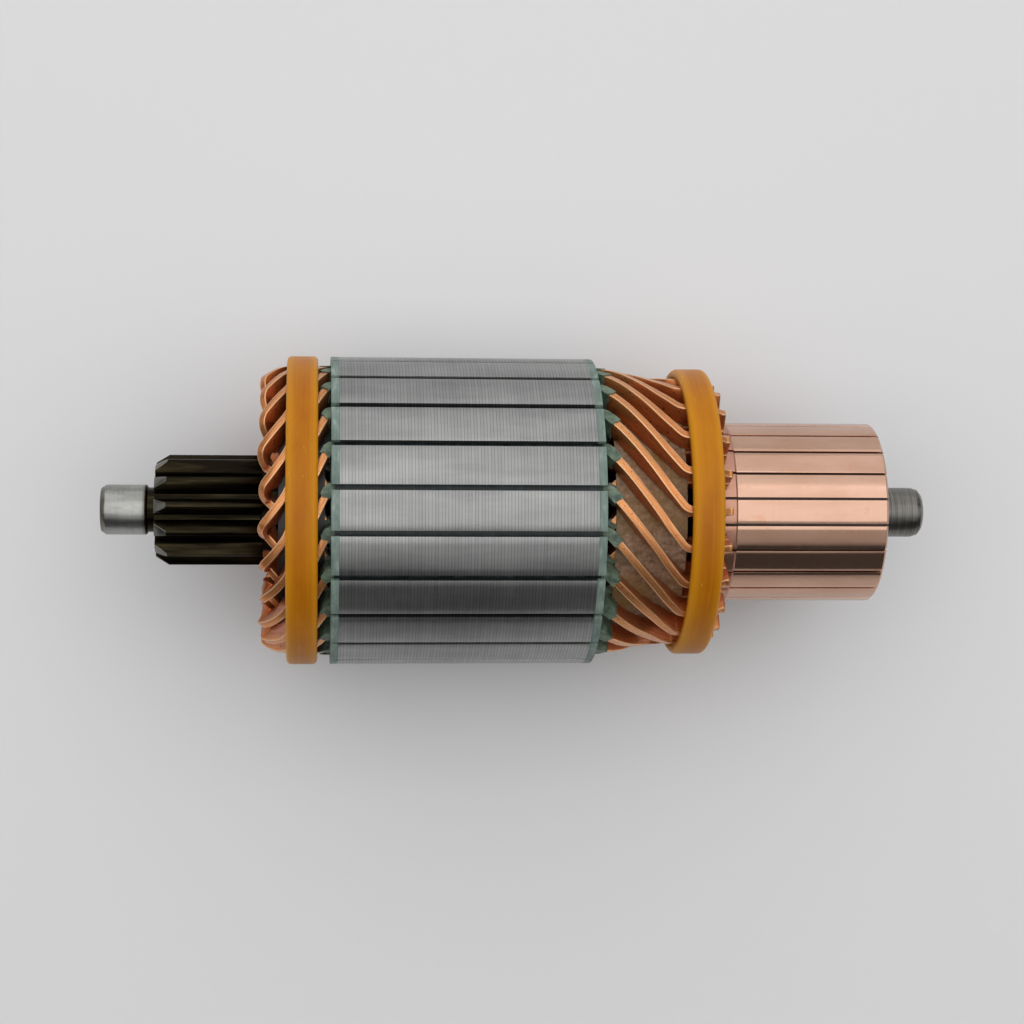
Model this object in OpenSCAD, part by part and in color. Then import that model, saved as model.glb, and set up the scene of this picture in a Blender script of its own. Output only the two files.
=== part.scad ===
// Armature of a geared starter motor: a shaft with its sun gear cut in one piece, a laminated
// core, a two-layer winding of 22 hairpin bars held by two resin bands, and a 22-bar commutator.
// Everything is laid out along the shaft, with zero at the middle of the core, and is turned at
// the end so that the shaft lies along X with its drive end at -X.

/* [Core] */
// Outside diameter of the core
core_d = 58; // [57:0.5:60]
// Length of the core over both end plates
core_len = 49.2; // [48:0.2:50]
// Thickness of each insulating end plate
plate_t = 1.45; // [1:0.05:2]
// Width of a slot
slot_w = 2.2; // [2.2:0.05:2.5]
// Opening of a slot at the surface of the core
slot_gap = 1.0; // [0.8:0.1:1.4]
// Depth of the slot opening, before the slot widens
lip_depth = 1.0; // [0.8:0.1:1.1]

/* [Winding] */
// Thickness of the copper bar
bar_w = 1.45; // [1.4:0.05:1.5]
// Height of the copper bar, along the radius
bar_h = 3.6; // [3.4:0.1:3.6]
// Radial gap between the upper and the lower bar of a slot
layer_gap = 0.4; // [0.4:0.05:0.5]
// Depth of the upper bar below the surface of the core
bar_depth = 1.9; // [1.85:0.05:2]
// Wall of the slot liner
liner_t = 0.2; // [0.15:0.05:0.25]

/* [Bands] */
// Wall of the band at the drive end
front_band_t = 1.85; // [1.2:0.05:2.2]
// Wall of the band at the commutator end
rear_band_t = 1.7; // [1.2:0.05:2.2]
// Width of the band at the drive end
front_band_w = 5.75; // [4:0.25:6]
// Width of the band at the commutator end
rear_band_w = 5.8; // [4:0.2:6]

/* [Commutator] */
// Diameter of the brush track
track_d = 34.12; // [33:0.1:34.4]
// Width of the gap between two commutator bars
mica_w = 0.48; // [0.3:0.02:0.7]
// Depth of that gap below the brush track
mica_depth = 0.7; // [0.4:0.1:1.2]

/* [Shaft] */
// Diameter of the journal at the drive end
front_journal_d = 9.4; // [8:0.1:11]
// Diameter of the journal at the commutator end
rear_journal_d = 9.5; // [8:0.1:11]
// Diameter of the shaft in the core
core_seat_d = 17; // [15:0.5:20]

/* [Sun gear] */
// Module of the teeth
gear_module = 1.4; // [1.4:0.01:1.42]
// Diameter over the tips of the teeth
gear_tip_d = 20.72; // [20.2:0.02:20.8]
// Diameter at the roots of the teeth
gear_root_d = 14.8; // [14:0.1:15.2]
// Length of the teeth
gear_len = 20; // [16:0.5:22]

/* [Hidden] */
$fn = 96;

// --- counts and angles -------------------------------------------------------------------
slots = 22;
gear_teeth = 12;
pitch = 360 / slots;
top_angle = 90;
gear_phase = -4.5;
// The lower bar of a coil lies this many slots on from its upper bar
coil_throw = 6;
// How far a bar runs round at each end, in slots
front_throw = coil_throw / 2;
rear_throw = coil_throw / 2 - 0.5;

// --- places along the shaft --------------------------------------------------------------
core_end = core_len / 2;
front_tip = -67.3;
rear_tip = 89.1;
middle = (front_tip + rear_tip) / 2;
gear_start = -57.1;
groove_start = -58.9;
front_band_z = -32.7;
rear_band_z = 40.5;
riser_start = 46.1;
track_start = 50.4;
track_end = 78.9;
bar_tip = 48.2;

// --- radii -------------------------------------------------------------------------------
core_r = core_d / 2;
seat_r = core_seat_d / 2;
track_r = track_d / 2;
upper_r = core_r - bar_depth - bar_h / 2;
lower_r = upper_r - bar_h - layer_gap;
slot_top = core_r - bar_depth + liner_t + 0.15;
slot_floor = lower_r - bar_h / 2 - liner_t - 0.2;
commutator_shaft_r = 6;
// How far the winding closes in towards the commutator, in three steps
rear_waist = 1.5;
rear_taper = 0.15;
rear_drop = 1.15;
band_fit = 0.1;
riser_r = track_r + 0.29;
weld_floor = lower_r - rear_waist - rear_taper - rear_drop - bar_h / 2;
foot_r = 12.3;
neck_r = 13.7;
foot_shoulder_r = 14.9;

function two_digits(n) = n < 10 ? str("0", n) : str(n);
coil_names = [for (k = [1 : slots]) str("coil_", two_digits(k))];
bar_names = [for (k = [1 : slots]) str("commutator_bar_", two_digits(k))];

// --- shared shapes -----------------------------------------------------------------------
function unit(v) = v / norm(v);
function ease(t) = let (c = min(1, max(0, t))) c * c * (3 - 2 * c);

// Lays the shaft along X, with the middle of its length at the origin
module in_place() {
    rotate([90, 0, 90])
        translate([0, 0, -middle])
            children();
}

module at_each_slot() {
    for (k = [0 : slots - 1])
        rotate([0, 0, top_angle + (k + 0.5) * pitch])
            children();
}

// A ring whose two outer edges are rounded
module rounded_ring(inner, outer, width, edge) {
    steps = 5;
    corner = [for (i = [0 : steps]) i * 90 / steps];
    rotate_extrude()
        polygon(concat(
            [[inner, 0]],
            [for (a = corner) [outer - edge + edge * sin(a), edge - edge * cos(a)]],
            [for (a = corner) [outer - edge + edge * cos(a), width - edge + edge * sin(a)]],
            [[inner, width]]));
}

// --- shaft and sun gear ------------------------------------------------------------------
function involute(a) = tan(a) * 180 / PI - a;

module gear_outline() {
    pressure = 20;
    pitch_r = gear_module * gear_teeth / 2;
    base_r = pitch_r * cos(pressure);
    tip_r = gear_tip_d / 2;
    root_r = gear_root_d / 2;
    shift = 0.43;
    half_tooth = 90 / gear_teeth * (1 + 4 * shift * tan(pressure) / PI);
    flank_steps = 5;
    flank = [for (i = [0 : flank_steps])
        let (r = base_r + (tip_r - base_r) * i / flank_steps)
        [r, half_tooth + involute(pressure) - involute(acos(min(1, base_r / r)))]];
    half_root = flank[0][1] + 1.5;
    side = concat([[root_r, half_root]], flank);
    last = len(side) - 1;
    polygon([for (t = [0 : gear_teeth - 1], i = [0 : 2 * last + 1])
        let (p = i <= last ? [side[i][0], -side[i][1]] : side[2 * last + 1 - i])
        p[0] * [cos(p[1] + t * 360 / gear_teeth), sin(p[1] + t * 360 / gear_teeth)]]);
}

module sun_gear() {
    end_chamfer = 2.4;
    chamfer_r = gear_tip_d / 2 - 1.5;
    intersection() {
        translate([0, 0, gear_start])
            rotate([0, 0, top_angle + gear_phase])
                linear_extrude(gear_len)
                    gear_outline();
        translate([0, 0, gear_start])
            rotate_extrude()
                polygon([[0, 0], [chamfer_r, 0], [gear_tip_d / 2 + 0.01, end_chamfer],
                         [gear_tip_d / 2 + 0.01, gear_len], [0, gear_len]]);
    }
}

module shaft_body() {
    front_r = front_journal_d / 2;
    rear_r = rear_journal_d / 2;
    groove_r = front_r - 0.5;
    gear_end = gear_start + gear_len;
    rotate_extrude()
        polygon([
            [0, front_tip], [front_r - 0.6, front_tip], [front_r, front_tip + 0.9],
            [front_r, groove_start], [groove_r, groove_start + 0.3],
            [groove_r, gear_start + 0.2], [gear_root_d / 2, gear_start + 0.2],
            [gear_root_d / 2, gear_end - 0.5], [seat_r - 0.4, gear_end - 0.5],
            [seat_r, gear_end - 0.1],
            [seat_r, core_end + 2], [7.5, core_end + 3], [7.5, 43],
            [commutator_shaft_r, 44], [commutator_shaft_r, track_end + 0.9],
            [rear_r, track_end + 1.2],
            [rear_r, rear_tip - 1.7], [rear_r - 0.35, rear_tip - 0.6],
            [rear_r - 1.1, rear_tip], [0, rear_tip]]);
}

// The cone that a lathe centre left in each end of the shaft
module centre_hole() {
    cylinder(h = 1.9, r1 = 1.4, r2 = 0.3);
}

module shaft() {
    color("silver")
        difference() {
            union() {
                shaft_body();
                sun_gear();
            }
            translate([0, 0, front_tip - 0.01])
                centre_hole();
            translate([0, 0, rear_tip + 0.01])
                mirror([0, 0, 1])
                    centre_hole();
        }
}

// --- core --------------------------------------------------------------------------------
module slot_outline() {
    round_off = 0.1;
    polygon([
        [core_r + 1, -slot_gap / 2], [core_r - lip_depth, -slot_gap / 2],
        [slot_top, -slot_w / 2], [slot_floor + round_off, -slot_w / 2],
        [slot_floor, -slot_w / 2 + round_off], [slot_floor, slot_w / 2 - round_off],
        [slot_floor + round_off, slot_w / 2], [slot_top, slot_w / 2],
        [core_r - lip_depth, slot_gap / 2], [core_r + 1, slot_gap / 2]]);
}

module slotted_disc(from, to) {
    difference() {
        translate([0, 0, from])
            cylinder(h = to - from, r = core_r);
        translate([0, 0, from - 1])
            cylinder(h = to - from + 2, r = seat_r);
        at_each_slot()
            translate([0, 0, from - 1])
                linear_extrude(to - from + 2)
                    slot_outline();
    }
}

module lamination_core() {
    color("gray")
        slotted_disc(-core_end + plate_t, core_end - plate_t);
}

module front_end_plate() {
    color("darkseagreen")
        slotted_disc(-core_end, -core_end + plate_t);
}

module rear_end_plate() {
    color("darkseagreen")
        slotted_disc(core_end - plate_t, core_end);
}

// --- hairpin coils -----------------------------------------------------------------------
// A coil runs from the commutator through the top of one slot, round the nose at the drive end
// and back through the bottom of a slot six further on. Each point on its way is
// [radius, angle, place along the shaft, lean, cone]. The lean is the angle between the bar and
// the shaft: 0 in the slot, 90 where the bar crosses over at the nose. The cone is the angle of
// the surface that the bar lies on: 0 where the winding is a plain cylinder.

// Rounded ramp: 0 before the bend, then a steady slope of 1
function ramp(t, round) = t <= 0 ? 0 : sqrt(t * t + round * round) - round;

// Angle that a bar has run round at a distance t beyond the core, at the drive end
front_start = 0.2;
front_slope = 4.6;
front_round = 0.3;
front_ease = 1.3;
dip_start = 8;
function front_turn(t) =
    front_slope * ramp(t - front_start, front_round) - front_ease * ramp(t - dip_start, 1);
// The winding closes in towards its nose
function front_dip(t) = 0.1 * pow(max(0, t - dip_start), 2);

// The same at the commutator end, where the bars straighten again before they reach it
rear_slope = 2.85;
rear_round = 1.0;
rear_straight = rear_throw * pitch / rear_slope;
function rear_turn(t) =
    rear_slope * (ramp(t, rear_round) - ramp(t - rear_straight, rear_round));
function rear_dip(z) =
    rear_waist * ease((z - 26.5) / 10) + rear_taper * ease((z - 31) / 9)
    + rear_drop * ease((z - 44.6) / 3);

step = 0.05;
function front_rate(t) = (front_turn(t + step) - front_turn(t - step)) / (2 * step);
function rear_rate(t) = (rear_turn(t + step) - rear_turn(t - step)) / (2 * step);
function lean_of(rate, r) = atan(rate * PI / 180 * r);
function front_cone(t) = atan((front_dip(t + step) - front_dip(t - step)) / (2 * step));
function rear_cone(z) = -atan((rear_dip(z + step) - rear_dip(z - step)) / (2 * step));

front_stations = [0.2, 0.6, 1.1, 2, 3.7, 5.4, 7, 8.4, 9.4, 10.3, 11.2];
rear_stations = [0, 0.6, 1.3, 2.3, 4.4, 7.5, 10.5, 13.6, 14.9, 16, 17.8, 20.4, 21.5, 22.7, 23.6];
nose_steps = 6;

nose_t = front_stations[len(front_stations) - 1];
nose_r = upper_r - front_dip(nose_t);
nose_fall = bar_h + layer_gap;
nose_lean = lean_of(front_rate(nose_t), nose_r);
nose_cone = front_cone(nose_t);
nose_from = front_turn(nose_t);
nose_to = coil_throw * pitch - nose_from;
nose_reach = 0.55;

function upper_rear(t) =
    let (z = core_end + t, r = upper_r - rear_dip(z))
    [r, rear_turn(t), z, -lean_of(rear_rate(t), r), rear_cone(z)];
function lower_rear(t) =
    let (z = core_end + t, r = lower_r - rear_dip(z))
    [r, coil_throw * pitch - rear_turn(t), z, 180 + lean_of(rear_rate(t), r), rear_cone(z)];
function upper_front(t) =
    let (r = upper_r - front_dip(t))
    [r, front_turn(t), -core_end - t, lean_of(front_rate(t), r), front_cone(t)];
function lower_front(t) =
    let (r = lower_r - front_dip(t))
    [r, coil_throw * pitch - front_turn(t), -core_end - t, 180 - lean_of(front_rate(t), r),
     front_cone(t)];
function nose(u) =
    [nose_r - nose_fall * ease(u), nose_from + (nose_to - nose_from) * u,
     -core_end - nose_t - nose_reach * (1 - pow(2 * u - 1, 2)),
     nose_lean + (180 - 2 * nose_lean) * ease(u), nose_cone];

rear_last = len(rear_stations) - 1;
front_last = len(front_stations) - 1;
coil_way = concat(
    [for (i = [rear_last : -1 : 0]) upper_rear(rear_stations[i])],
    [for (i = [0 : front_last]) upper_front(front_stations[i])],
    [for (i = [1 : nose_steps - 1]) nose(i / nose_steps)],
    [for (i = [front_last : -1 : 0]) lower_front(front_stations[i])],
    [for (i = [0 : rear_last]) lower_rear(rear_stations[i])]);

function outward(p) = [cos(p[1]), sin(p[1]), 0];
function around(p) = [-sin(p[1]), cos(p[1]), 0];
function on_round(p) = p[0] * outward(p) + [0, 0, p[2]];
// Direction across the thin side of the bar, in the surface that the bar lies on
function thin_side(p) =
    -sin(p[3]) * (cos(p[4]) * [0, 0, 1] + sin(p[4]) * outward(p)) - cos(p[3]) * around(p);

function bar_section(way, i) =
    let (
        last = len(way) - 1,
        here = on_round(way[i]),
        run = unit(on_round(way[min(last, i + 1)]) - on_round(way[max(0, i - 1)])),
        tall = unit(cross(thin_side(way[i]), run)),
        thin = cross(run, tall),
        u = tall * bar_h / 2,
        v = thin * bar_w / 2)
    [here - u - v, here + u - v, here + u + v, here - u + v];

// Two triangles for each side of a tube that joins rings of n points, a ring apart
function tube_faces(rings, n, stride, from) =
    [for (i = [0 : rings - 2], j = [0 : n - 1])
        let (a = stride * i + from + j, b = stride * i + from + (j + 1) % n)
        each [[a, b + stride, b], [a, a + stride, b + stride]]];
function flipped(faces) = [for (f = faces) [f[0], f[2], f[1]]];

module coil(k) {
    count = len(coil_way);
    last = 4 * count;
    points = [for (i = [0 : count - 1]) each bar_section(coil_way, i)];
    color("peru")
        rotate([0, 0, top_angle + (k - 0.5) * pitch])
            polyhedron(points, concat(
                [[0, 1, 2], [0, 2, 3]],
                tube_faces(count, 4, 4, 0),
                [[last - 4, last - 2, last - 3], [last - 4, last - 1, last - 2]]));
}

// --- slot liners: one folded paper sleeve round the two bars of each slot -------------------
// Beyond the core a sleeve opens out, since its upper bar turns one way and its lower one the
// other. Each ring has six corners outside and the same six inside.
liner_play = 0.14;
liner_flare = 0.44;
liner_far = core_r - bar_depth + liner_t + 0.1;
liner_near = lower_r - bar_h / 2 - liner_t - 0.05;
liner_mid = (upper_r + lower_r) / 2;
front_liner_t = [0.9, 0.4, 0];
rear_liner_t = [0, 0.9, 2];

// Half the width of a sleeve at the radius r, as an angle, with its wall outside the bar
function liner_half(r, rate, wall) =
    let (lean = lean_of(rate, liner_mid))
    ((bar_w / 2 + wall) / cos(lean) + liner_play + liner_flare * sin(lean)) / r * 180 / PI;
function liner_corners(turn, rate, wall) =
    let (
        far = liner_far - liner_t + wall,
        near = liner_near + liner_t - wall,
        half_far = liner_half(far, rate, wall),
        half_mid = liner_half(liner_mid, rate, wall),
        half_near = liner_half(near, rate, wall))
    [[far, turn + half_far], [liner_mid, turn + half_mid], [near, half_near],
     [near, -turn - half_near], [liner_mid, -turn - half_mid], [far, turn / 2 - half_far]];
function liner_ring(turn, rate, z) =
    [for (p = concat(liner_corners(turn, rate, liner_t), liner_corners(turn, rate, 0)))
        [p[0] * cos(p[1]), p[0] * sin(p[1]), z]];

module slot_liner() {
    rings = len(front_liner_t) + len(rear_liner_t);
    corners = 6;
    stride = 2 * corners;
    points = concat(
        [for (t = front_liner_t) each liner_ring(front_turn(t), front_rate(t), -core_end - t)],
        [for (t = rear_liner_t) each liner_ring(rear_turn(t), rear_rate(t), core_end + t)]);
    end = stride * (rings - 1);
    rim = [for (j = [0 : corners - 1])
        let (a = j, b = (j + 1) % corners)
        each [[a, b, b + corners], [a, b + corners, a + corners]]];
    polyhedron(points, concat(
        tube_faces(rings, corners, stride, 0),
        flipped(tube_faces(rings, corners, stride, corners)),
        rim,
        flipped([for (f = rim) f + [end, end, end]])));
}

module slot_liners() {
    color("seagreen")
        at_each_slot()
            slot_liner();
}

// --- insulation between the two layers, and the bands over them ----------------------------
sleeve_in = 0.1;
sleeve_out = 0.28;
layer_r = lower_r + bar_h / 2;

module front_layer_sleeve() {
    places = [1.1, 8, 8.7, 9.4];
    color("tan")
        rotate_extrude()
            polygon(concat(
                [for (t = places) [layer_r + sleeve_out - front_dip(t), -core_end - t]],
                [for (i = [len(places) - 1 : -1 : 0])
                    [layer_r + sleeve_in - front_dip(places[i]), -core_end - places[i]]]));
}

module rear_layer_sleeve() {
    places = [26.9, 28, 29.2, 30.4, 32, 34, 36, 40.2];
    color("tan")
        rotate_extrude()
            polygon(concat(
                [for (z = places) [layer_r + sleeve_out - rear_dip(z), z]],
                [for (i = [len(places) - 1 : -1 : 0])
                    [layer_r + sleeve_in - rear_dip(places[i]), places[i]]]));
}

module front_band() {
    inner = upper_r + bar_h / 2 + band_fit;
    color("goldenrod")
        translate([0, 0, front_band_z])
            rounded_ring(inner, inner + front_band_t, front_band_w, 0.8);
}

module rear_band() {
    inner = upper_r + bar_h / 2 - rear_waist - rear_taper + band_fit;
    color("goldenrod")
        translate([0, 0, rear_band_z])
            rounded_ring(inner, inner + rear_band_t, rear_band_w, 0.8);
}

// --- commutator --------------------------------------------------------------------------
module bar_profile() {
    polygon([
        [riser_r, riser_start], [riser_r, track_start - 0.3], [track_r, track_start],
        [track_r, track_end - 0.4], [track_r - 0.4, track_end],
        [foot_shoulder_r, track_end], [neck_r, track_end - 2.7], [foot_r, track_end - 1.5],
        [foot_r, riser_start + 2.7], [neck_r, riser_start + 3.9],
        [foot_shoulder_r, riser_start]]);
}

// The wedge between two gaps, whose sides stay parallel to the middle of each gap
module bar_wedge() {
    reach = 2 * track_r;
    tip = mica_w / 2 / sin(pitch / 2);
    translate([0, 0, riser_start - 1])
        linear_extrude(track_end - riser_start + 2)
            polygon([[tip, 0],
                     [tip + reach * cos(pitch / 2), -reach * sin(pitch / 2)],
                     [tip + reach * cos(pitch / 2), reach * sin(pitch / 2)]]);
}

module commutator_bar(k) {
    weld_w = bar_w + 0.1;
    color("lightsalmon")
        rotate([0, 0, top_angle + (k - 1) * pitch])
            difference() {
                intersection() {
                    rotate_extrude()
                        bar_profile();
                    bar_wedge();
                }
                translate([weld_floor, -weld_w / 2, riser_start - 1])
                    cube([3, weld_w, bar_tip + 0.1 - riser_start + 1]);
            }
}

module commutator_hub() {
    shoulder = 0.4;
    color("saddlebrown") {
        rotate_extrude()
            polygon([
                [commutator_shaft_r, riser_start - 0.6], [11, riser_start - 0.6],
                [foot_shoulder_r, riser_start], [neck_r, riser_start + 3.9],
                [foot_r, riser_start + 2.7], [foot_r, track_end - 1.5],
                [neck_r, track_end - 2.7], [foot_shoulder_r, track_end],
                [foot_shoulder_r - shoulder, track_end + shoulder],
                [commutator_shaft_r, track_end + shoulder]]);
        at_each_slot()
            translate([foot_r - 0.5, -mica_w / 2, riser_start + 0.2])
                cube([track_r - mica_depth - foot_r + 0.5, mica_w,
                      track_end - riser_start - 0.4]);
    }
}

// --- the whole armature ------------------------------------------------------------------
in_place() shaft();
in_place() lamination_core();
in_place() front_end_plate();
in_place() rear_end_plate();
in_place() slot_liners();
in_place() front_layer_sleeve();
in_place() rear_layer_sleeve();
in_place() front_band();
in_place() rear_band();
in_place() commutator_hub();
for (k = [1 : slots]) {
    in_place() coil(k);
    in_place() commutator_bar(k);
}
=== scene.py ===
# %% [markdown]
# # A starter motor's armature
# The armature is one rigid part: a steel shaft with a sun gear on it, a stack of thin steel
# sheets, a winding of 22 copper hairpins held by two amber bands, and a copper commutator.
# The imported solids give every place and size. Here they get their finishes, and the pieces whose
# edges and bends show most are modelled again, a little finer, in the same places.

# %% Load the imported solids
import bpy
import bmesh
import math
import random
from mathutils import Matrix, Vector


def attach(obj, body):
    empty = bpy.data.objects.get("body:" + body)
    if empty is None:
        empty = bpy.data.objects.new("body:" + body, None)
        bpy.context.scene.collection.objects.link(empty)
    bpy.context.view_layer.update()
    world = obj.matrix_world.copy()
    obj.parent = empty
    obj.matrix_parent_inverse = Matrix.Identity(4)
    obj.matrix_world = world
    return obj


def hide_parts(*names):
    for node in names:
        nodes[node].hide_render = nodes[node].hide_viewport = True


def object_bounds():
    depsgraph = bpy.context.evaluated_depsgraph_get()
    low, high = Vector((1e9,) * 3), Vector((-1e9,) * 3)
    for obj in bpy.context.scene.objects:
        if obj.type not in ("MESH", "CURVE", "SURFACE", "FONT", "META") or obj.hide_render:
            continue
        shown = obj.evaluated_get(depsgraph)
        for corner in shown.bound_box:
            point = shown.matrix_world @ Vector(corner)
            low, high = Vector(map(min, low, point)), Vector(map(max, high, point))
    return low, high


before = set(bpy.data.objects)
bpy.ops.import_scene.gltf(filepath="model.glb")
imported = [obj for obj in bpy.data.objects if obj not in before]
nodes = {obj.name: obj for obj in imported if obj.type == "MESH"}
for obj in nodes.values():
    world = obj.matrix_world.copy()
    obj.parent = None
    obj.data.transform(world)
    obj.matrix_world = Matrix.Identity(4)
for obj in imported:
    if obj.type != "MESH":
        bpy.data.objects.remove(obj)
cad_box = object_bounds()
low, high = cad_box
print("solids:", len(nodes), "box in mm:", [round(1000 * (b - a), 1) for a, b in zip(low, high)])

# %% [markdown]
# ## Camera
# The part lies on a pale table and is seen from straight above, a little from the left of its
# middle. The camera hangs over the shaft, turned a few degrees about the Y axis, with a long
# lens. It is made first, so that every piece can be judged through it.

# %% Camera over the table
MM = 0.001
FIELD_OF_VIEW = math.degrees(2 * math.atan(512 / 2198.46))
CAMERA_PLACE = (-38.57, 0, 417.82)
camera_data = bpy.data.cameras.new("camera")
camera_data.sensor_fit = "HORIZONTAL"
camera_data.angle = math.radians(FIELD_OF_VIEW)
camera = bpy.data.objects.new("camera", camera_data)
bpy.context.scene.collection.objects.link(camera)
turn = (Matrix.Rotation(-0.0899, 4, "Y") @ Matrix.Rotation(-0.0005, 4, "X")
        @ Matrix.Rotation(0.0035, 4, "Z"))
camera.matrix_world = Matrix.Translation(Vector(CAMERA_PLACE) * MM) @ turn
bpy.context.scene.camera = camera
print("camera angle in degrees:", round(math.degrees(camera_data.angle), 2))

# %% [markdown]
# ## Light, table and view
# A metal cylinder shows its surroundings as stripes: a wide soft box overhead makes the bright
# stripe along the middle of the core, and a second one behind gives the far side a calmer grey.
# In front there is only a narrow, weak box, so the near side goes dark before it meets the table.
# The world itself stays dim for that reason, and two small boxes light the ends of the shaft.

# %% Soft boxes
scene = bpy.context.scene
scene.view_settings.view_transform = "Standard"


def soft_box(name, place, aim, size, brightness):
    """A rectangular lamp whose face has the given brightness, seen from the front."""
    light = bpy.data.lights.new(name, "AREA")
    light.shape = "RECTANGLE"
    light.size, light.size_y = size
    light.energy = brightness * math.pi * size[0] * size[1]
    box = bpy.data.objects.new(name, light)
    scene.collection.objects.link(box)
    box.location = place
    box.rotation_euler = (Vector(aim) - Vector(place)).to_track_quat("-Z", "Y").to_euler()
    return box


soft_box("box_overhead", (0.0, 0.15, 1.0), (0, 0.15, 0), (2.4, 1.1), 1.30)
soft_box("box_behind", (0.0, 1.05, 0.58), (0, 0, 0), (2.4, 1.3), 0.95)
soft_box("box_front", (0.0, -0.62, 0.92), (0, 0, 0), (2.2, 0.34), 0.45)
soft_box("box_left", (-1.5, 0.1, 0.60), (0, 0, 0), (0.9, 0.9), 0.60)
soft_box("box_right", (1.5, 0.1, 0.60), (0, 0, 0), (0.9, 0.9), 0.60)
world = bpy.data.worlds.new("dim_room")
scene.world = world
world.use_nodes = True
world.node_tree.nodes["Background"].inputs["Color"].default_value = (0.06, 0.06, 0.06, 1)
world.node_tree.nodes["Background"].inputs["Strength"].default_value = 1.0

# %% [markdown]
# ## A small kit for finishes
# Every finish starts from one Principled shader. The helpers add a pattern that reads Object
# coordinates, so it stays on the piece from every side, and stretch it by different amounts along
# the shaft and across it: marks from a lathe run round the part, so they change fast along the
# shaft and hardly at all round it.

# %% Helpers for finishes
def new_finish(name, colour, metallic=0.0, roughness=0.5):
    """A material with one Principled shader; returns the material and its shader."""
    material = bpy.data.materials.new(name)
    material.use_nodes = True
    shader = material.node_tree.nodes["Principled BSDF"]
    shader.inputs["Base Color"].default_value = (*colour, 1)
    shader.inputs["Metallic"].default_value = metallic
    shader.inputs["Roughness"].default_value = roughness
    return material, shader


def node(material, kind, **settings):
    """A new node of a finish, with its settings."""
    made = material.node_tree.nodes.new(kind)
    for name, value in settings.items():
        setattr(made, name, value)
    return made


def join(material, source, target):
    """A wire from one node's output to another's input."""
    material.node_tree.links.new(source, target)


def place_on_piece(material, stretch, attribute=None):
    """Coordinates of the piece, or of one of its attributes, each axis multiplied by stretch."""
    mapping = node(material, "ShaderNodeMapping")
    mapping.inputs["Scale"].default_value = stretch
    if attribute:
        source = node(material, "ShaderNodeAttribute", attribute_name=attribute).outputs["Vector"]
    else:
        source = node(material, "ShaderNodeTexCoord").outputs["Object"]
    join(material, source, mapping.inputs["Vector"])
    return mapping.outputs["Vector"]


def noise(material, place, detail=3.0, rough=0.6):
    """Fractal noise at the given place on the piece; its own scale is left to the place."""
    texture = node(material, "ShaderNodeTexNoise")
    texture.inputs["Scale"].default_value = 1.0
    texture.inputs["Detail"].default_value = detail
    texture.inputs["Roughness"].default_value = rough
    join(material, place, texture.inputs["Vector"])
    return texture.outputs["Fac"]


def levels(material, value, *stops):
    """A colour ramp over value: stops are (position, colour), where a colour may be one number."""
    ramp = node(material, "ShaderNodeValToRGB")
    elements = ramp.color_ramp.elements
    while len(elements) < len(stops):
        elements.new(0.5)
    for element, (position, colour) in zip(elements, stops):
        element.position = position
        rgb = colour if isinstance(colour, tuple) else (colour,) * 3
        element.color = (*rgb, 1)
    join(material, value, ramp.inputs["Fac"])
    return ramp.outputs["Color"]


def mix(material, share, first, second):
    """Mixes two colours, each a socket or a plain colour, by share, a socket or a number."""
    mixer = node(material, "ShaderNodeMix", data_type="RGBA")
    for value, socket in ((share, mixer.inputs[0]), (first, mixer.inputs[6]),
                          (second, mixer.inputs[7])):
        if isinstance(value, bpy.types.NodeSocket):
            join(material, value, socket)
        elif isinstance(value, tuple):
            socket.default_value = (*value, 1)
        else:
            socket.default_value = value
    return mixer.outputs[2]


def number(material, operation, *values):
    """One Math node over numbers or sockets."""
    maths = node(material, "ShaderNodeMath", operation=operation)
    for value, socket in zip(values, maths.inputs):
        if isinstance(value, bpy.types.NodeSocket):
            join(material, value, socket)
        else:
            socket.default_value = value
    return maths.outputs[0]


def along(material):
    """The place along the shaft's axis, in mm from the middle of the whole part."""
    split = node(material, "ShaderNodeSeparateXYZ")
    join(material, node(material, "ShaderNodeTexCoord").outputs["Object"], split.inputs[0])
    return number(material, "MULTIPLY", split.outputs["X"], 1 / MM)


def relief(material, shader, *heights):
    """Chains bumps under the shader: each is (height socket, strength, distance in mm)."""
    normal = None
    for height, strength, distance in heights:
        bump = node(material, "ShaderNodeBump")
        bump.inputs["Strength"].default_value = strength
        bump.inputs["Distance"].default_value = distance * MM
        join(material, height, bump.inputs["Height"])
        if normal is not None:
            join(material, normal, bump.inputs["Normal"])
        normal = bump.outputs["Normal"]
    join(material, normal, shader.inputs["Normal"])


def dress(material, *names):
    """Gives a finish to solids that keep their own shape."""
    for name in names:
        slots = nodes[name].data.materials
        slots.clear()
        slots.append(material)


print("finish helpers ready")

# %% [markdown]
# ## The path of a hairpin
# Each coil is one flat copper bar. From the commutator it runs round the part at a steady slope,
# straightens into the top of a slot, leaves it at the gear end, slopes on, turns over at the nose
# and comes back through the bottom of the slot six further on. A path of stations says this best:
# radius, angle, place along the shaft, lean of the bar, and cone of the surface that it lies on.
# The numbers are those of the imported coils, with the stations closer together.

# %% Path of one coil, in mm and degrees
SLOTS = 22
PITCH = 360 / SLOTS
MIDDLE = 10.9
CORE_END = 24.6
UPPER_R = 25.3
LOWER_R = 21.3
THROW = 6
BAR_WIDTH = 1.45
BAR_HEIGHT = 3.6
CORNER = 0.2
NOSE_REACH = 0.55
FRONT_SLOPE = 4.6
REAR_SLOPE = 2.85


def ramp(t, rounding):
    """Nothing before t = 0 and a straight slope after it, with a rounded bend between."""
    return 0.0 if t <= 0 else math.sqrt(t * t + rounding * rounding) - rounding


def ease(t):
    """A smooth step from 0 to 1."""
    t = min(1.0, max(0.0, t))
    return t * t * (3 - 2 * t)


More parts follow.
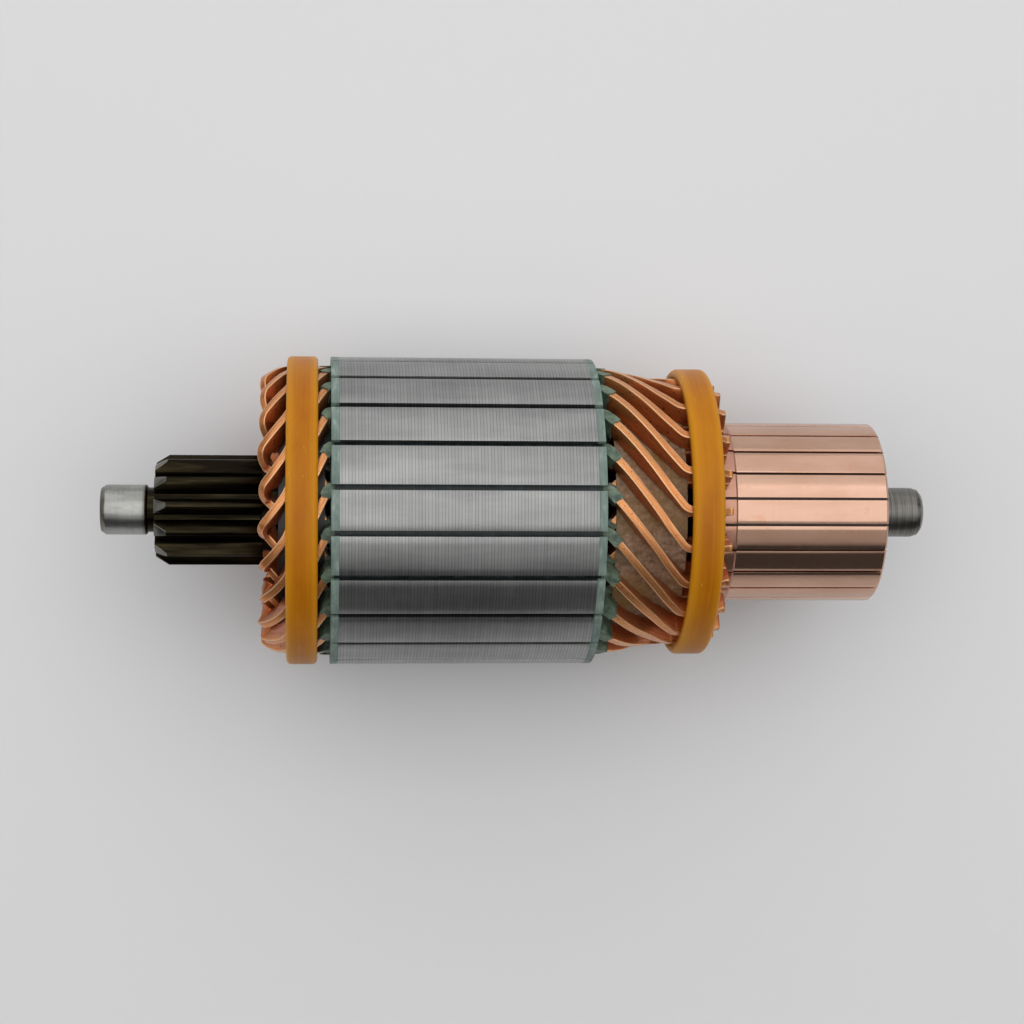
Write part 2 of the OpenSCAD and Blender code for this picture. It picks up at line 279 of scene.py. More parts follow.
def front_turn(t):
    """Degrees turned by t mm past the gear end of the core."""
    return FRONT_SLOPE * ramp(t - 0.2, 0.3) - 1.3 * ramp(t - 8, 1.0)


def front_dip(t):
    """How far the bar has closed in towards the shaft there, in mm."""
    return 0.1 * max(0.0, t - 8) ** 2


def rear_turn(t):
    """Degrees turned by t mm past the commutator end of the core."""
    return REAR_SLOPE * (ramp(t, 1.0) - ramp(t - 2.5 * PITCH / REAR_SLOPE, 1.0))


def rear_dip(t):
    """How far the bar has closed in towards the commutator there, in mm."""
    z = CORE_END + t
    return (1.5 * ease((z - 26.5) / 10) + 0.15 * ease((z - 31) / 9)
            + 1.15 * ease((z - 44.6) / 3))


def rate(function, t, step=0.05):
    """The slope of a function at t."""
    return (function(t + step) - function(t - step)) / (2 * step)


def lean(function, t, radius):
    """Degrees between the bar and the shaft, seen from outside."""
    return math.degrees(math.atan(math.radians(rate(function, t)) * radius))


def cone(function, t):
    """Degrees between the bar and the shaft, seen from the side."""
    return math.degrees(math.atan(rate(function, t)))


def spread(first, last, count):
    """Evenly spaced values, both ends included."""
    return [first + (last - first) * i / (count - 1) for i in range(count)]


def coil_path(reach):
    """Stations from the upper end at the commutator to the lower end; reach moves the nose."""
    front = [0.2, 0.4, 0.6, 0.85] + spread(1.1, 8, 14) + spread(8.4, 11.2, 8)
    rear = spread(0, 2.7, 8) + spread(3.4, 13.4, 11) + spread(13.9, 17.2, 8) + [18.5, 20]
    rear += spread(20.6, 23.6, 9)
    last = front[-1]
    nose_r = UPPER_R - front_dip(last)
    nose_lean, nose_cone = lean(front_turn, last, nose_r), cone(front_dip, last)
    nose_from = front_turn(last)
    nose_to = THROW * PITCH - nose_from
    path = []
    for t in reversed(rear):
        r = UPPER_R - rear_dip(t)
        path.append((r, rear_turn(t), CORE_END + t, -lean(rear_turn, t, r), -cone(rear_dip, t)))
    for t in front:
        r = UPPER_R - front_dip(t)
        path.append((r, front_turn(t), -CORE_END - t - reach * ease((t - 6) / 5),
                     lean(front_turn, t, r), cone(front_dip, t)))
    for u in spread(0, 1, 15)[1:-1]:
        path.append((nose_r - (UPPER_R - LOWER_R) * ease(u), nose_from + (nose_to - nose_from) * u,
                     -CORE_END - last - reach - NOSE_REACH * (1 - (2 * u - 1) ** 2),
                     nose_lean + (180 - 2 * nose_lean) * ease(u), nose_cone))
    for t in reversed(front):
        r = LOWER_R - front_dip(t)
        path.append((r, THROW * PITCH - front_turn(t), -CORE_END - t - reach * ease((t - 6) / 5),
                     180 - lean(front_turn, t, r), cone(front_dip, t)))
    for t in rear:
        r = LOWER_R - rear_dip(t)
        path.append((r, THROW * PITCH - rear_turn(t), CORE_END + t,
                     180 + lean(rear_turn, t, r), -cone(rear_dip, t)))
    return path


def station_frame(path, i, start):
    """Where station i puts a section: its X runs up the bar's height, Y across its width."""
    def spot(p):
        a = math.radians(p[1] + start)
        return Vector((p[2] - MIDDLE, p[0] * math.cos(a), p[0] * math.sin(a)))

    r, angle, z, tilt, slant = path[i]
    a, tilt, slant = math.radians(angle + start), math.radians(tilt), math.radians(slant)
    outward = Vector((0, math.cos(a), math.sin(a)))
    around = Vector((0, -math.sin(a), math.cos(a)))
    axis = Vector((1, 0, 0))
    run = (spot(path[min(len(path) - 1, i + 1)]) - spot(path[max(0, i - 1)])).normalized()
    thin = (-math.sin(tilt) * (math.cos(slant) * axis + math.sin(slant) * outward)
            - math.cos(tilt) * around)
    tall = thin.cross(run).normalized()
    thin = run.cross(tall)
    columns = Matrix((tall, thin, run)).transposed().to_4x4()
    return Matrix.Translation(spot(path[i])) @ columns


print("stations in a coil:", len(coil_path(0)))

# %% [markdown]
# ## Hairpins, swept station by station
# A curve with a bevel object would twist the bar where the path bends in two ways at once, so the
# section is set down at each station instead: a square grid face, its corners rounded with a
# vertex bevel, is extruded edge by edge and moved to the next station's frame. Each point keeps
# where it is on the bar, and the copper's streaks, its painted edge highlights and its painted
# side shade follow that.

# %% Twenty-two hairpins
def finish_mesh(bm, name, smooth=True):
    """Turns a bmesh into an object of its own, with its faces turned outward."""
    bmesh.ops.recalc_face_normals(bm, faces=bm.faces)
    for face in bm.faces:
        face.smooth = smooth
    mesh = bpy.data.meshes.new(name)
    bm.to_mesh(mesh)
    bm.free()
    piece = bpy.data.objects.new(name, mesh)
    scene.collection.objects.link(piece)
    return piece


def sweep_coil(name, start, reach, tone):
    """One hairpin, from the degrees where its slot stands; tone is kept for a finish to read."""
    bm = bmesh.new()
    bmesh.ops.create_grid(bm, x_segments=1, y_segments=1, size=0.5)
    bmesh.ops.scale(bm, vec=(BAR_HEIGHT, BAR_WIDTH, 1), verts=bm.verts)
    bmesh.ops.bevel(bm, geom=bm.verts[:], affect="VERTICES", offset=CORNER, offset_type="OFFSET",
                    segments=3, profile=0.5, material=-1)
    bmesh.ops.delete(bm, geom=bm.faces[:], context="FACES_ONLY")
    on_bar = bm.verts.layers.float_vector.new("on_bar")
    for v in bm.verts:
        v[on_bar] = (v.co.x, v.co.y, 0)
    path = coil_path(reach)
    ring = bm.edges[:]
    section = {v: v.co.copy() for v in bm.verts}
    first = ring
    run = 0.0
    place = station_frame(path, 0, start)
    for v, flat in section.items():
        v.co = place @ flat
    for i in range(1, len(path)):
        made = bmesh.ops.extrude_edge_only(bm, edges=ring)["geom"]
        fresh = [g for g in made if isinstance(g, bmesh.types.BMVert)]
        old = place
        place = station_frame(path, i, start)
        run += (place.translation - old.translation).length
        step = place @ old.inverted()
        for v in fresh:
            x, y, _ = v[on_bar]
            v.co = step @ v.co
            v[on_bar] = (x, y, run)
        ring = [g for g in made if isinstance(g, bmesh.types.BMEdge)]
    bmesh.ops.contextual_create(bm, geom=first)
    bmesh.ops.contextual_create(bm, geom=ring)
    bmesh.ops.scale(bm, vec=(MM, MM, MM), verts=bm.verts)
    tone_layer = bm.verts.layers.float.new("tone")
    for v in bm.verts:
        v[tone_layer] = tone
    return finish_mesh(bm, name)


dice = random.Random(22)
coils = []
for k in range(SLOTS):
    start = 90 + (k + 0.5) * PITCH
    reach = dice.uniform(-0.35, 0.0)
    coil = sweep_coil(f"hairpin_{k + 1:02d}", start, reach, dice.random())
    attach(coil, "root")
    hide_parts(f"coil_{k + 1:02d}")
    coils.append(coil)
print("hairpins:", len(coils), "faces each:", len(coils[0].data.polygons))

# %% [markdown]
# ## Enamelled copper
# The bars are bare-looking copper under clear enamel that has browned a little: orange on the
# flats, with dark specks and scratches that run lengthwise. Cream along the long top edges is a
# painted highlight, and the redder, darker sides are painted shade. The height on the bar drives
# the painted shade, and the distance from the middle of the width drives the painted highlight.

# %% Finish of the hairpins
copper, shader = new_finish("enamelled_copper", (0.75, 0.30, 0.12), metallic=0.75, roughness=0.32)
shader.inputs["Coat Weight"].default_value = 0.25
shader.inputs["Coat Roughness"].default_value = 0.25
bar_axes = node(copper, "ShaderNodeSeparateXYZ")
join(copper, node(copper, "ShaderNodeAttribute", attribute_name="on_bar").outputs["Vector"],
     bar_axes.inputs[0])
streaks = noise(copper, place_on_piece(copper, (2.2, 3.0, 0.12), "on_bar"), detail=5)
specks = noise(copper, place_on_piece(copper, (1.6, 3.2, 1.3), "on_bar"), detail=4, rough=0.7)
broad = noise(copper, place_on_piece(copper, (0.15, 0.2, 0.08), "on_bar"), detail=2)
body = levels(copper, streaks, (0.32, (0.46, 0.15, 0.045)), (0.50, (0.66, 0.26, 0.085)),
              (0.66, (0.82, 0.40, 0.16)))
toned = mix(copper, levels(copper, broad, (0.40, 0.0), (0.7, 0.6)), body, (0.60, 0.19, 0.05))
# Painted shade: the bar turns redder and darker down its sides, away from the top face.
depth = number(copper, "MULTIPLY_ADD", bar_axes.outputs["X"], -1 / BAR_HEIGHT, 0.5)
painted_side_shade = levels(copper, depth, (0.0, 0.0), (0.10, 0.35), (0.75, 0.9))
side_shaded_copper = mix(copper, painted_side_shade, toned, (0.52, 0.115, 0.022))
speck_share = levels(copper, specks, (0.60, 0.0), (0.66, 0.75))
specked = mix(copper, speck_share, side_shaded_copper, (0.06, 0.020, 0.008))
# Painted highlight: cream along the long edges of the top face, where they catch the light.
across = number(copper, "ABSOLUTE", bar_axes.outputs["Y"])
painted_edge_highlight = number(copper, "MULTIPLY", levels(copper, across, (0.44, 0.0), (0.60, 1.0), (0.715, 0.2)),
             number(copper, "GREATER_THAN", bar_axes.outputs["X"], BAR_HEIGHT / 2 - 0.25))
edge_highlighted_copper = mix(copper, number(copper, "MULTIPLY", painted_edge_highlight, 0.7), specked, (1.0, 0.70, 0.40))
join(copper, edge_highlighted_copper, shader.inputs["Base Color"])
join(copper, levels(copper, streaks, (0.3, 0.42), (0.7, 0.24)), shader.inputs["Roughness"])
relief(copper, shader, (streaks, 0.25, 0.10), (specks, 0.2, 0.08))
for coil in coils:
    coil.data.materials.append(copper)
print("copper dressed")

# %% [markdown]
# ## The core: thin steel sheets
# The core is a stack of stamped sheets, about half a millimetre each, pressed together and turned
# true. The sheets show as fine grey lines round the part, no two quite alike, so the finish takes
# the place along the shaft, cuts it into sheets, and gives each sheet its own grey. Solids copied
# from the CAD are loose triangles: their doubles are merged and their flat faces joined first,
# and then a narrow bevel takes the sharpness off the long edges of the teeth.

# %% Copies of solids with softened edges
CREASE = 40


def softened(name, solids, width, sharp):
    """Copies CAD solids into one piece, joins their flat faces and bevels the sharp edges."""
    bm = bmesh.new()
    for solid in solids:
        bm.from_mesh(nodes[solid].data)
    bmesh.ops.remove_doubles(bm, verts=bm.verts, dist=0.0005 * MM)
    bmesh.ops.dissolve_limit(bm, angle_limit=math.radians(1.0), verts=bm.verts, edges=bm.edges,
                             delimit={"NORMAL"})
    edges = [e for e in bm.edges if e.is_manifold and e.calc_face_angle(0) > math.radians(sharp)]
    bmesh.ops.bevel(bm, geom=edges, affect="EDGES", offset=width * MM, offset_type="OFFSET",
                    segments=2, profile=0.5, material=-1, clamp_overlap=True)
    for face in bm.faces:
        face.smooth = True
    for e in bm.edges:
        if e.is_manifold and e.calc_face_angle(0) > math.radians(CREASE):
            e.smooth = False
    mesh = bpy.data.meshes.new(name)
    bm.to_mesh(mesh)
    bm.free()
    piece = bpy.data.objects.new(name, mesh)
    scene.collection.objects.link(piece)
    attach(piece, "root")
    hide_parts(*solids)
    return piece


core = softened("sheet_stack", ["lamination_core"], 0.12, sharp=30)
print("core faces:", len(core.data.polygons))

# %% Finish of the sheets
SHEET = 0.59
STACK = 46.3
steel, shader = new_finish("sheet_steel", (0.30, 0.30, 0.30), metallic=1.0, roughness=0.38)
x = along(steel)
in_sheets = number(steel, "DIVIDE", x, SHEET)
sheet_no = number(steel, "FLOOR", in_sheets)
place_in_sheet = number(steel, "FRACT", in_sheets)
own_grey = node(steel, "ShaderNodeTexWhiteNoise", noise_dimensions="1D")
join(steel, sheet_no, own_grey.inputs["W"])
gap = number(steel, "ABSOLUTE", number(steel, "SUBTRACT", place_in_sheet, 0.5))
gap_line = levels(steel, gap, (0.36, 0.0), (0.49, 1.0))
greys = levels(steel, own_grey.outputs["Value"], (0.0, (0.285, 0.285, 0.28)),
               (1.0, (0.345, 0.35, 0.34)))
wear = noise(steel, place_on_piece(steel, (25, 110, 110)), detail=5)
worn = mix(steel, 0.5, greys, levels(steel, wear, (0.35, (0.20, 0.20, 0.20)),
                                     (0.62, (0.42, 0.42, 0.415))))
lined = mix(steel, number(steel, "MULTIPLY", gap_line, 0.5), worn, (0.045, 0.045, 0.05))
join(steel, lined, shader.inputs["Base Color"])
scratch = noise(steel, place_on_piece(steel, (9000, 120, 120)), detail=2)
join(steel, levels(steel, scratch, (0.3, 0.33), (0.7, 0.46)), shader.inputs["Roughness"])
sheet_tops = number(steel, "SUBTRACT", 1.0, gap_line)
relief(steel, shader, (sheet_tops, 0.35, 0.03), (scratch, 0.15, 0.02))
core.data.materials.append(steel)
print("sheets:", round(STACK / SHEET))

# %% [markdown]
# ## Insulation: end plates
# The end plates are sage-green sheet, turned with the core, so their rims show faint lathe lines.
# Their shape is the solids' own, with softened edges, and a cloudy green makes the resin.

# %% Finish of the end plates
plate, shader = new_finish("end_plate", (0.25, 0.33, 0.28), roughness=0.55)
cloud = noise(plate, place_on_piece(plate, (700, 260, 260)), detail=5)
lathe = noise(plate, place_on_piece(plate, (6000, 60, 60)), detail=2)
plate_body = levels(plate, cloud, (0.32, (0.115, 0.165, 0.145)), (0.55, (0.20, 0.27, 0.235)),
                    (0.72, (0.33, 0.40, 0.35)))
join(plate, mix(plate, levels(plate, lathe, (0.45, 0.0), (0.62, 0.35)), plate_body,
                (0.10, 0.15, 0.13)), shader.inputs["Base Color"])
relief(plate, shader, (cloud, 0.35, 0.08), (lathe, 0.3, 0.03))
for name in ("front_end_plate", "rear_end_plate"):
    piece = softened(name.replace("end_plate", "green_plate"), [name], 0.12,
                     sharp=30)
    piece.data.materials.append(plate)
print("end plates dressed")

# %% [markdown]
# ## Paper round the bars
# Each bar passes through its slot in a folded paper of its own, which sticks out a little at both
# ends and is torn there, not cut. A box would miss the bend that the paper shares with the bar, so
# a tube follows the bar's own stations. It is built in a bmesh of its own, where every point
# belongs to it, and Solidify gives it a wall. The paper is green where it sticks out; inside the
# slot it is painted nearly black, as painted shade.

# %% Finish of the slot papers
liner, shader = new_finish("slot_paper", (0.08, 0.13, 0.12), roughness=0.5)
blotch = noise(liner, place_on_piece(liner, (420, 500, 500)), detail=5, rough=0.7)
tab = levels(liner, blotch, (0.34, (0.035, 0.060, 0.045)), (0.50, (0.105, 0.155, 0.105)),
             (0.66, (0.20, 0.26, 0.185)))
# Inside the slot the paper is painted nearly black, as painted shade.
painted_slot_shade = levels(liner, blotch, (0.34, (0.008, 0.010, 0.010)), (0.55, (0.025, 0.035, 0.036)),
                 (0.72, (0.060, 0.085, 0.085)))
outside = number(liner, "GREATER_THAN", number(liner, "ABSOLUTE", number(
    liner, "ADD", along(liner), MIDDLE)), CORE_END - 0.6)
join(liner, mix(liner, outside, painted_slot_shade, tab), shader.inputs["Base Color"])
join(liner, levels(liner, blotch, (0.3, 0.35), (0.7, 0.65)), shader.inputs["Roughness"])
relief(liner, shader, (blotch, 0.5, 0.15))
print("slot paper mixed")

# %% Paper tubes
PAPER_ROOM = (0.39, 0.52)
PAPER_WALL = 0.16
RAGGED = 0.30


def paper_tube(path, stations, start):
    """One folded paper tube round a bar, ragged at both ends, as a mesh of its own."""
    tube = bmesh.new()
    bmesh.ops.create_grid(tube, x_segments=3, y_segments=3, size=0.5)
    bmesh.ops.scale(tube, vec=(BAR_HEIGHT + PAPER_ROOM[0], BAR_WIDTH + PAPER_ROOM[1], 1),
                    verts=tube.verts)
    ring = [e for e in tube.edges if e.is_boundary]
    inner = [v for v in tube.verts if not v.is_boundary]
    bmesh.ops.delete(tube, geom=tube.faces[:], context="FACES_ONLY")
    bmesh.ops.delete(tube, geom=inner, context="VERTS")
    place = station_frame(path, stations[0], start)
    for v in tube.verts:
        v.co = place @ Vector((v.co.x, v.co.y, dice.uniform(-RAGGED, RAGGED)))
    for i in stations[1:]:
        made = bmesh.ops.extrude_edge_only(tube, edges=ring)["geom"]
        old, place = place, station_frame(path, i, start)
        step = place @ old.inverted()
        for v in made:
            if isinstance(v, bmesh.types.BMVert):
                v.co = step @ v.co
        ring = [g for g in made if isinstance(g, bmesh.types.BMEdge)]
    along_bar = place.to_3x3() @ Vector((0, 0, 1))
    for v in [g for g in made if isinstance(g, bmesh.types.BMVert)]:
        v.co += along_bar * dice.uniform(-RAGGED, RAGGED)
    mesh = bpy.data.meshes.new("tube")
    tube.to_mesh(mesh)
    tube.free()
    return mesh


bm = bmesh.new()
plain = coil_path(0)
half = len(plain) // 2
upper = [i for i in range(half) if -26.2 < plain[i][2] < 27.3]
lower = [i for i in range(half + 1, len(plain)) if -26.0 < plain[i][2] < 26.9]
for k in range(SLOTS):
    for stations in (upper, lower):
        mesh = paper_tube(plain, stations, 90 + (k + 0.5) * PITCH)
        bm.from_mesh(mesh)
        bpy.data.meshes.remove(mesh)
bmesh.ops.scale(bm, vec=(MM, MM, MM), verts=bm.verts)
papers = finish_mesh(bm, "slot_papers", smooth=False)
wall = papers.modifiers.new("wall", "SOLIDIFY")
wall.thickness = PAPER_WALL * MM
wall.offset = -1.0
papers.data.materials.append(liner)
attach(papers, "root")
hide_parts("slot_liners")
print("paper tubes:", 2 * SLOTS, "faces:", len(papers.data.polygons))

# %% [markdown]
# ## Sleeves between the layers
# Where the upper bars cross the lower ones, a paper sleeve keeps them apart. The one towards the
# commutator is tan and furry. The one at the gear end is painted nearly black, as painted shade
# in the deep gap between the bars. Both keep the solids' shape, because only strips of them show
# between the bars.

# %% Finish of the sleeves
paper, shader = new_finish("layer_paper", (0.16, 0.10, 0.045), roughness=0.6)
grain = noise(paper, place_on_piece(paper, (900, 900, 900)), detail=6, rough=0.75)
stain = noise(paper, place_on_piece(paper, (90, 120, 120)), detail=3)
fibre = levels(paper, grain, (0.34, (0.16, 0.085, 0.040)), (0.52, (0.32, 0.205, 0.125)),
               (0.68, (0.50, 0.37, 0.27)))
join(paper, mix(paper, levels(paper, stain, (0.40, 0.0), (0.66, 0.7)), fibre,
                (0.27, 0.155, 0.030)), shader.inputs["Base Color"])
relief(paper, shader, (grain, 0.6, 0.12))
dress(paper, "rear_layer_sleeve")

# The gear-end sleeve is painted nearly black, as painted shade in the deep gap between the bars.
painted_gap_shade, shader = new_finish("painted_shade_sleeve", (0.010, 0.007, 0.005), roughness=0.35)
dark_mottle = noise(painted_gap_shade, place_on_piece(painted_gap_shade, (500, 300, 300)), detail=4)
join(painted_gap_shade, levels(painted_gap_shade, dark_mottle, (0.4, (0.004, 0.003, 0.003)), (0.7, (0.035, 0.020, 0.012))),
     shader.inputs["Base Color"])
relief(painted_gap_shade, shader, (dark_mottle, 0.4, 0.1))
dress(painted_gap_shade, "front_layer_sleeve")
print("sleeves dressed")

# %% [markdown]
# ## Resin bands
# Each band is glass roving wound round the bars and soaked in amber resin. A profile with rounded
# shoulders is spun a full turn about the shaft. The resin lets some light in, and that glow is
# painted light: the colour is brighter and paler where the band turns away at the rim. The roving
# shows as faint threads round it.

# %% Two spun bands
FRONT_BAND = {"start": -32.7, "width": 5.75, "inner": 27.2, "wall": 1.85}
REAR_BAND = {"start": 40.5, "width": 5.8, "inner": 25.55, "wall": 1.7}
SPIN_STEPS = 240


def spun(name, profile, solid):
    """Spins a closed profile of (place, radius) pairs, in mm, round the shaft's axis."""
    bm = bmesh.new()
    ring = [bm.verts.new(((z - MIDDLE) * MM, 0, r * MM)) for z, r in profile]
    for a, b in zip(ring, ring[1:] + ring[:1]):
        bm.edges.new((a, b))
    bmesh.ops.spin(bm, geom=bm.verts[:] + bm.edges[:], cent=(0, 0, 0), axis=(1, 0, 0),
                   angle=2 * math.pi, steps=SPIN_STEPS, use_merge=True)
    bmesh.ops.remove_doubles(bm, verts=bm.verts, dist=0.001 * MM)
    piece = finish_mesh(bm, name)
    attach(piece, "root")
    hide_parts(solid)
    return piece


def arc(centre, radius, first, last, count=9):
    """Points of an arc between two angles in degrees."""
    return [(centre[0] + radius * math.cos(math.radians(a)),
             centre[1] + radius * math.sin(math.radians(a))) for a in spread(first, last, count)]


def band_profile(start, width, inner, wall, edge=0.9):
    """The section of a band: flat inside, with rounded outer shoulders."""
    outer = inner + wall
    return ([(start, inner)] + arc((start + edge, outer - edge), edge, 180, 90)
            + arc((start + width - edge, outer - edge), edge, 90, 0)
            + [(start + width, inner)])


front_band = spun("resin_band_front", band_profile(**FRONT_BAND), "front_band")
rear_band = spun("resin_band_rear", band_profile(**REAR_BAND), "rear_band")
print("band faces:", len(front_band.data.polygons))

# %% [markdown]
# ## Amber
# The finish measures how far across its band a point lies, from 0 at one edge to 1 at the other,
# and paints both edges paler, as painted light glowing through the resin. Threads, slow clouds and
# a few bright flecks lie over that.

# %% Finish of the bands
resin, shader = new_finish("amber_resin", (0.42, 0.15, 0.003), roughness=0.42)
shader.inputs["Specular IOR Level"].default_value = 0.18
shader.inputs["Subsurface Weight"].default_value = 0.25
shader.inputs["Subsurface Radius"].default_value = (1.0, 0.40, 0.03)
shader.inputs["Subsurface Scale"].default_value = 1.0 * MM
threads = noise(resin, place_on_piece(resin, (2200, 26, 26)), detail=4)
cloudy = noise(resin, place_on_piece(resin, (160, 60, 60)), detail=3)
flecks = noise(resin, place_on_piece(resin, (1500, 420, 420)), detail=2)
ambers = levels(resin, cloudy, (0.35, (0.43, 0.130, 0.002)), (0.65, (0.53, 0.185, 0.003)))
x = along(resin)
shoulders = [number(resin, "MULTIPLY", number(resin, "SUBTRACT", x, band["start"] - MIDDLE),
                    1 / FRONT_BAND["width"]) for band in (FRONT_BAND, REAR_BAND)]
near_rear = number(resin, "GREATER_THAN", x, 0.0)
share = node(resin, "ShaderNodeMix", data_type="FLOAT")
join(resin, near_rear, share.inputs[0])
join(resin, shoulders[0], share.inputs[2])
join(resin, shoulders[1], share.inputs[3])
# Both edges of each band are painted paler, as painted light glowing through the resin.
painted_rim_glow = levels(resin, share.outputs[0], (0.0, 0.8), (0.13, 0.55), (0.30, 0.10), (0.52, 0.0),
                 (0.74, 0.10), (0.86, 0.45), (1.0, 0.8))
rim_glowed_amber = mix(resin, painted_rim_glow, ambers, (0.66, 0.285, 0.006))
threaded = mix(resin, levels(resin, threads, (0.50, 0.0), (0.70, 0.30)), rim_glowed_amber,
               (0.62, 0.26, 0.008))
join(resin, mix(resin, levels(resin, flecks, (0.70, 0.0), (0.76, 0.6)), threaded,
                (0.80, 0.46, 0.07)), shader.inputs["Base Color"])
join(resin, levels(resin, cloudy, (0.3, 0.36), (0.7, 0.50)), shader.inputs["Roughness"])
relief(resin, shader, (threads, 0.10, 0.04), (cloudy, 0.25, 0.20))
for band in (front_band, rear_band):
    band.data.materials.append(resin)
print("bands dressed")

# %% [markdown]
# ## Commutator
# Twenty-two copper bars stand round a moulded hub, with a thin gap between neighbours. The brush
# track was turned last, so it is pale and bright with fine lines round it. The risers behind it,
# where the bar ends are welded, were left duller and pinker by the heat.

# %% Finish of the commutator
RISER_END = 50.45
track, shader = new_finish("turned_copper", (0.85, 0.56, 0.42), metallic=1.0, roughness=0.22)
x = along(track)
turned = noise(track, place_on_piece(track, (7000, 90, 90)), detail=3)
patch = noise(track, place_on_piece(track, (55, 160, 160)), detail=4)
spots = noise(track, place_on_piece(track, (260, 420, 420)), detail=2)
bright = levels(track, patch, (0.36, (0.56, 0.335, 0.235)), (0.60, (0.63, 0.395, 0.29)))
blushed = mix(track, levels(track, spots, (0.62, 0.0), (0.74, 0.35)), bright, (0.60, 0.27, 0.15))
riser = number(track, "LESS_THAN", x, RISER_END - MIDDLE)
join(track, mix(track, number(track, "MULTIPLY", riser, 0.7), blushed, (0.47, 0.22, 0.155)),
     shader.inputs["Base Color"])
fine = levels(track, turned, (0.3, 0.16), (0.7, 0.24))
join(track, number(track, "MULTIPLY_ADD", riser, 0.16, fine), shader.inputs["Roughness"])
relief(track, shader, (turned, 0.12, 0.012), (patch, 0.15, 0.08))
for k in range(SLOTS):
    bar = softened(f"brush_bar_{k + 1:02d}", [f"commutator_bar_{k + 1:02d}"],
                   0.10, sharp=35)
    bar.data.materials.append(track)

hub, shader = new_finish("moulded_hub", (0.035, 0.020, 0.014), roughness=0.5)
mottle = noise(hub, place_on_piece(hub, (500, 500, 500)), detail=5)
join(hub, levels(hub, mottle, (0.35, (0.018, 0.010, 0.008)), (0.7, (0.060, 0.032, 0.022))),
     shader.inputs["Base Color"])
relief(hub, shader, (mottle, 0.3, 0.06))
dress(hub, "commutator_hub")
print("commutator dressed")

# %% [markdown]
# ## Shaft and sun gear
# One steel forging, three finishes: the drive-end journal is ground bright, the gear is hardened
# and oily, nearly black, with a painted highlight in lighter grey on its chamfers, and the far
# journal is turned and dull.
# The finish reads the place along the shaft, and how far a point is from the axis, to part them.

# %% Shaft with softened edges
GEAR_START = -57.1
CHAMFER_START = 8.86
CHAMFER_SLOPE = 0.625
CHAMFER_LENGTH = 2.3
JOURNAL_END = -59.1
JOURNAL_MIDDLE = -63.0
FAR_STUB = 70.9
shaft = softened("geared_shaft", ["shaft"], 0.12, sharp=22)
forged, shader = new_finish("shaft_steel", (0.30, 0.30, 0.29), metallic=1.0, roughness=0.3)
x = along(forged)
grind = noise(forged, place_on_piece(forged, (5200, 60, 60)), detail=3)
smear = noise(forged, place_on_piece(forged, (120, 420, 420)), detail=4)
oil = noise(forged, place_on_piece(forged, (60, 700, 700)), detail=3)
ground = levels(forged, smear, (0.35, (0.27, 0.27, 0.255)), (0.65, (0.42, 0.425, 0.40)))
ground = mix(forged, levels(forged, grind, (0.5, 0.0), (0.7, 0.3)), ground, (0.16, 0.155, 0.14))
oily = levels(forged, oil, (0.40, (0.010, 0.008, 0.005)), (0.62, (0.035, 0.028, 0.014)),
              (0.75, (0.085, 0.070, 0.035)))
axes = node(forged, "ShaderNodeSeparateXYZ")
join(forged, node(forged, "ShaderNodeTexCoord").outputs["Object"], axes.inputs[0])
square = number(forged, "ADD", number(forged, "MULTIPLY", axes.outputs["Y"], axes.outputs["Y"]),
                number(forged, "MULTIPLY", axes.outputs["Z"], axes.outputs["Z"]))
from_axis = number(forged, "MULTIPLY", number(forged, "SQRT", square), 1000.0)
into_gear = number(forged, "SUBTRACT", x, GEAR_START - MIDDLE)
chamfer_cone = number(forged, "MULTIPLY_ADD", into_gear, CHAMFER_SLOPE, CHAMFER_START - 0.12)
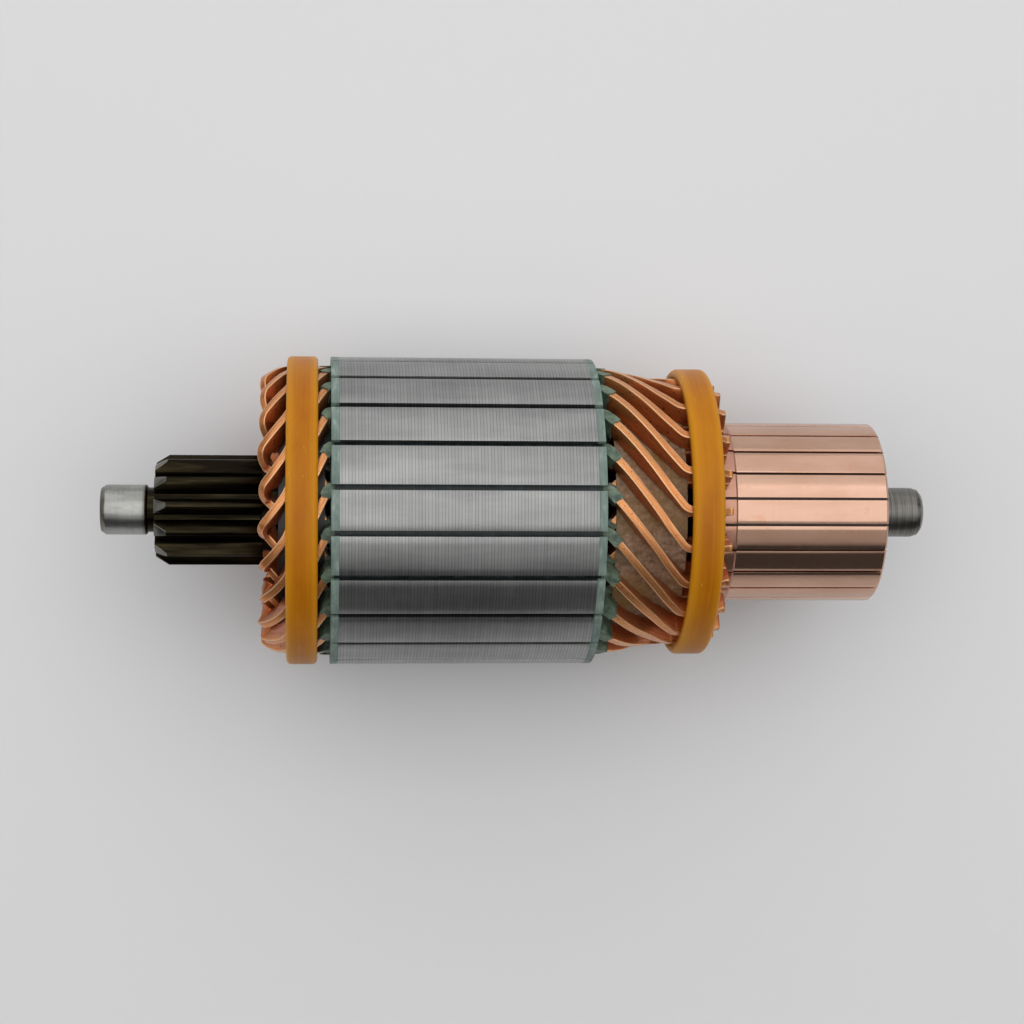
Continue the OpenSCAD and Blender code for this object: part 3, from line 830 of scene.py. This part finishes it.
# Painted highlight: the gear's chamfers get a lighter grey than the rest of the gear.
chamfer_highlight_mask = number(forged, "MULTIPLY", number(forged, "GREATER_THAN", from_axis, chamfer_cone),
                    number(forged, "LESS_THAN", into_gear, CHAMFER_LENGTH))
gear_with_chamfer_highlight = mix(forged, chamfer_highlight_mask, oily, (0.17, 0.165, 0.145))
dull = levels(forged, grind, (0.35, (0.10, 0.095, 0.085)), (0.65, (0.24, 0.23, 0.21)))
rust = noise(forged, place_on_piece(forged, (700, 500, 500)), detail=5, rough=0.7)
to_edge = number(forged, "ABSOLUTE", number(forged, "SUBTRACT", x, JOURNAL_MIDDLE - MIDDLE))
rusty = mix(forged, levels(forged, number(forged, "MULTIPLY", to_edge, 0.2), (0.66, 0.0),
                           (0.80, 0.75)), ground, (0.105, 0.075, 0.045))
pitted = mix(forged, levels(forged, rust, (0.58, 0.0), (0.72, 0.5)), rusty, (0.13, 0.12, 0.10))
on_gear = number(forged, "GREATER_THAN", x, JOURNAL_END - MIDDLE)
past_core = number(forged, "GREATER_THAN", x, FAR_STUB - MIDDLE)
first = mix(forged, on_gear, pitted, gear_with_chamfer_highlight)
join(forged, mix(forged, past_core, first, dull), shader.inputs["Base Color"])
join(forged, levels(forged, smear, (0.3, 0.24), (0.7, 0.40)), shader.inputs["Roughness"])
relief(forged, shader, (grind, 0.25, 0.02), (smear, 0.2, 0.08))
shaft.data.materials.append(forged)
print("shaft faces:", len(shaft.data.polygons))

# %% [markdown]
# ## Table
# A wide pale plane lies just under the part's lowest point. It isn't part of the armature, so it
# is staged. It takes the soft shadow, and the metal shows it as its lower stripe.

# %% Pale table
TABLE_HALF = 2.5
TABLE_TOP = low.z - 0.1 * MM
bm = bmesh.new()
bmesh.ops.create_grid(bm, x_segments=1, y_segments=1, size=TABLE_HALF)
bmesh.ops.translate(bm, vec=(0, 0, TABLE_TOP), verts=bm.verts)
table = finish_mesh(bm, "table", smooth=False)
table_top, shader = new_finish("pale_table", (0.80, 0.80, 0.81), roughness=0.7)
table.data.materials.append(table_top)
print("table at", round(1000 * TABLE_TOP, 2), "mm")

# %% [markdown]
# ## Finish
# The view layer is brought up to date once more. The dressed part has to stay inside the solids'
# size.

# %% The last call
bpy.context.view_layer.update()
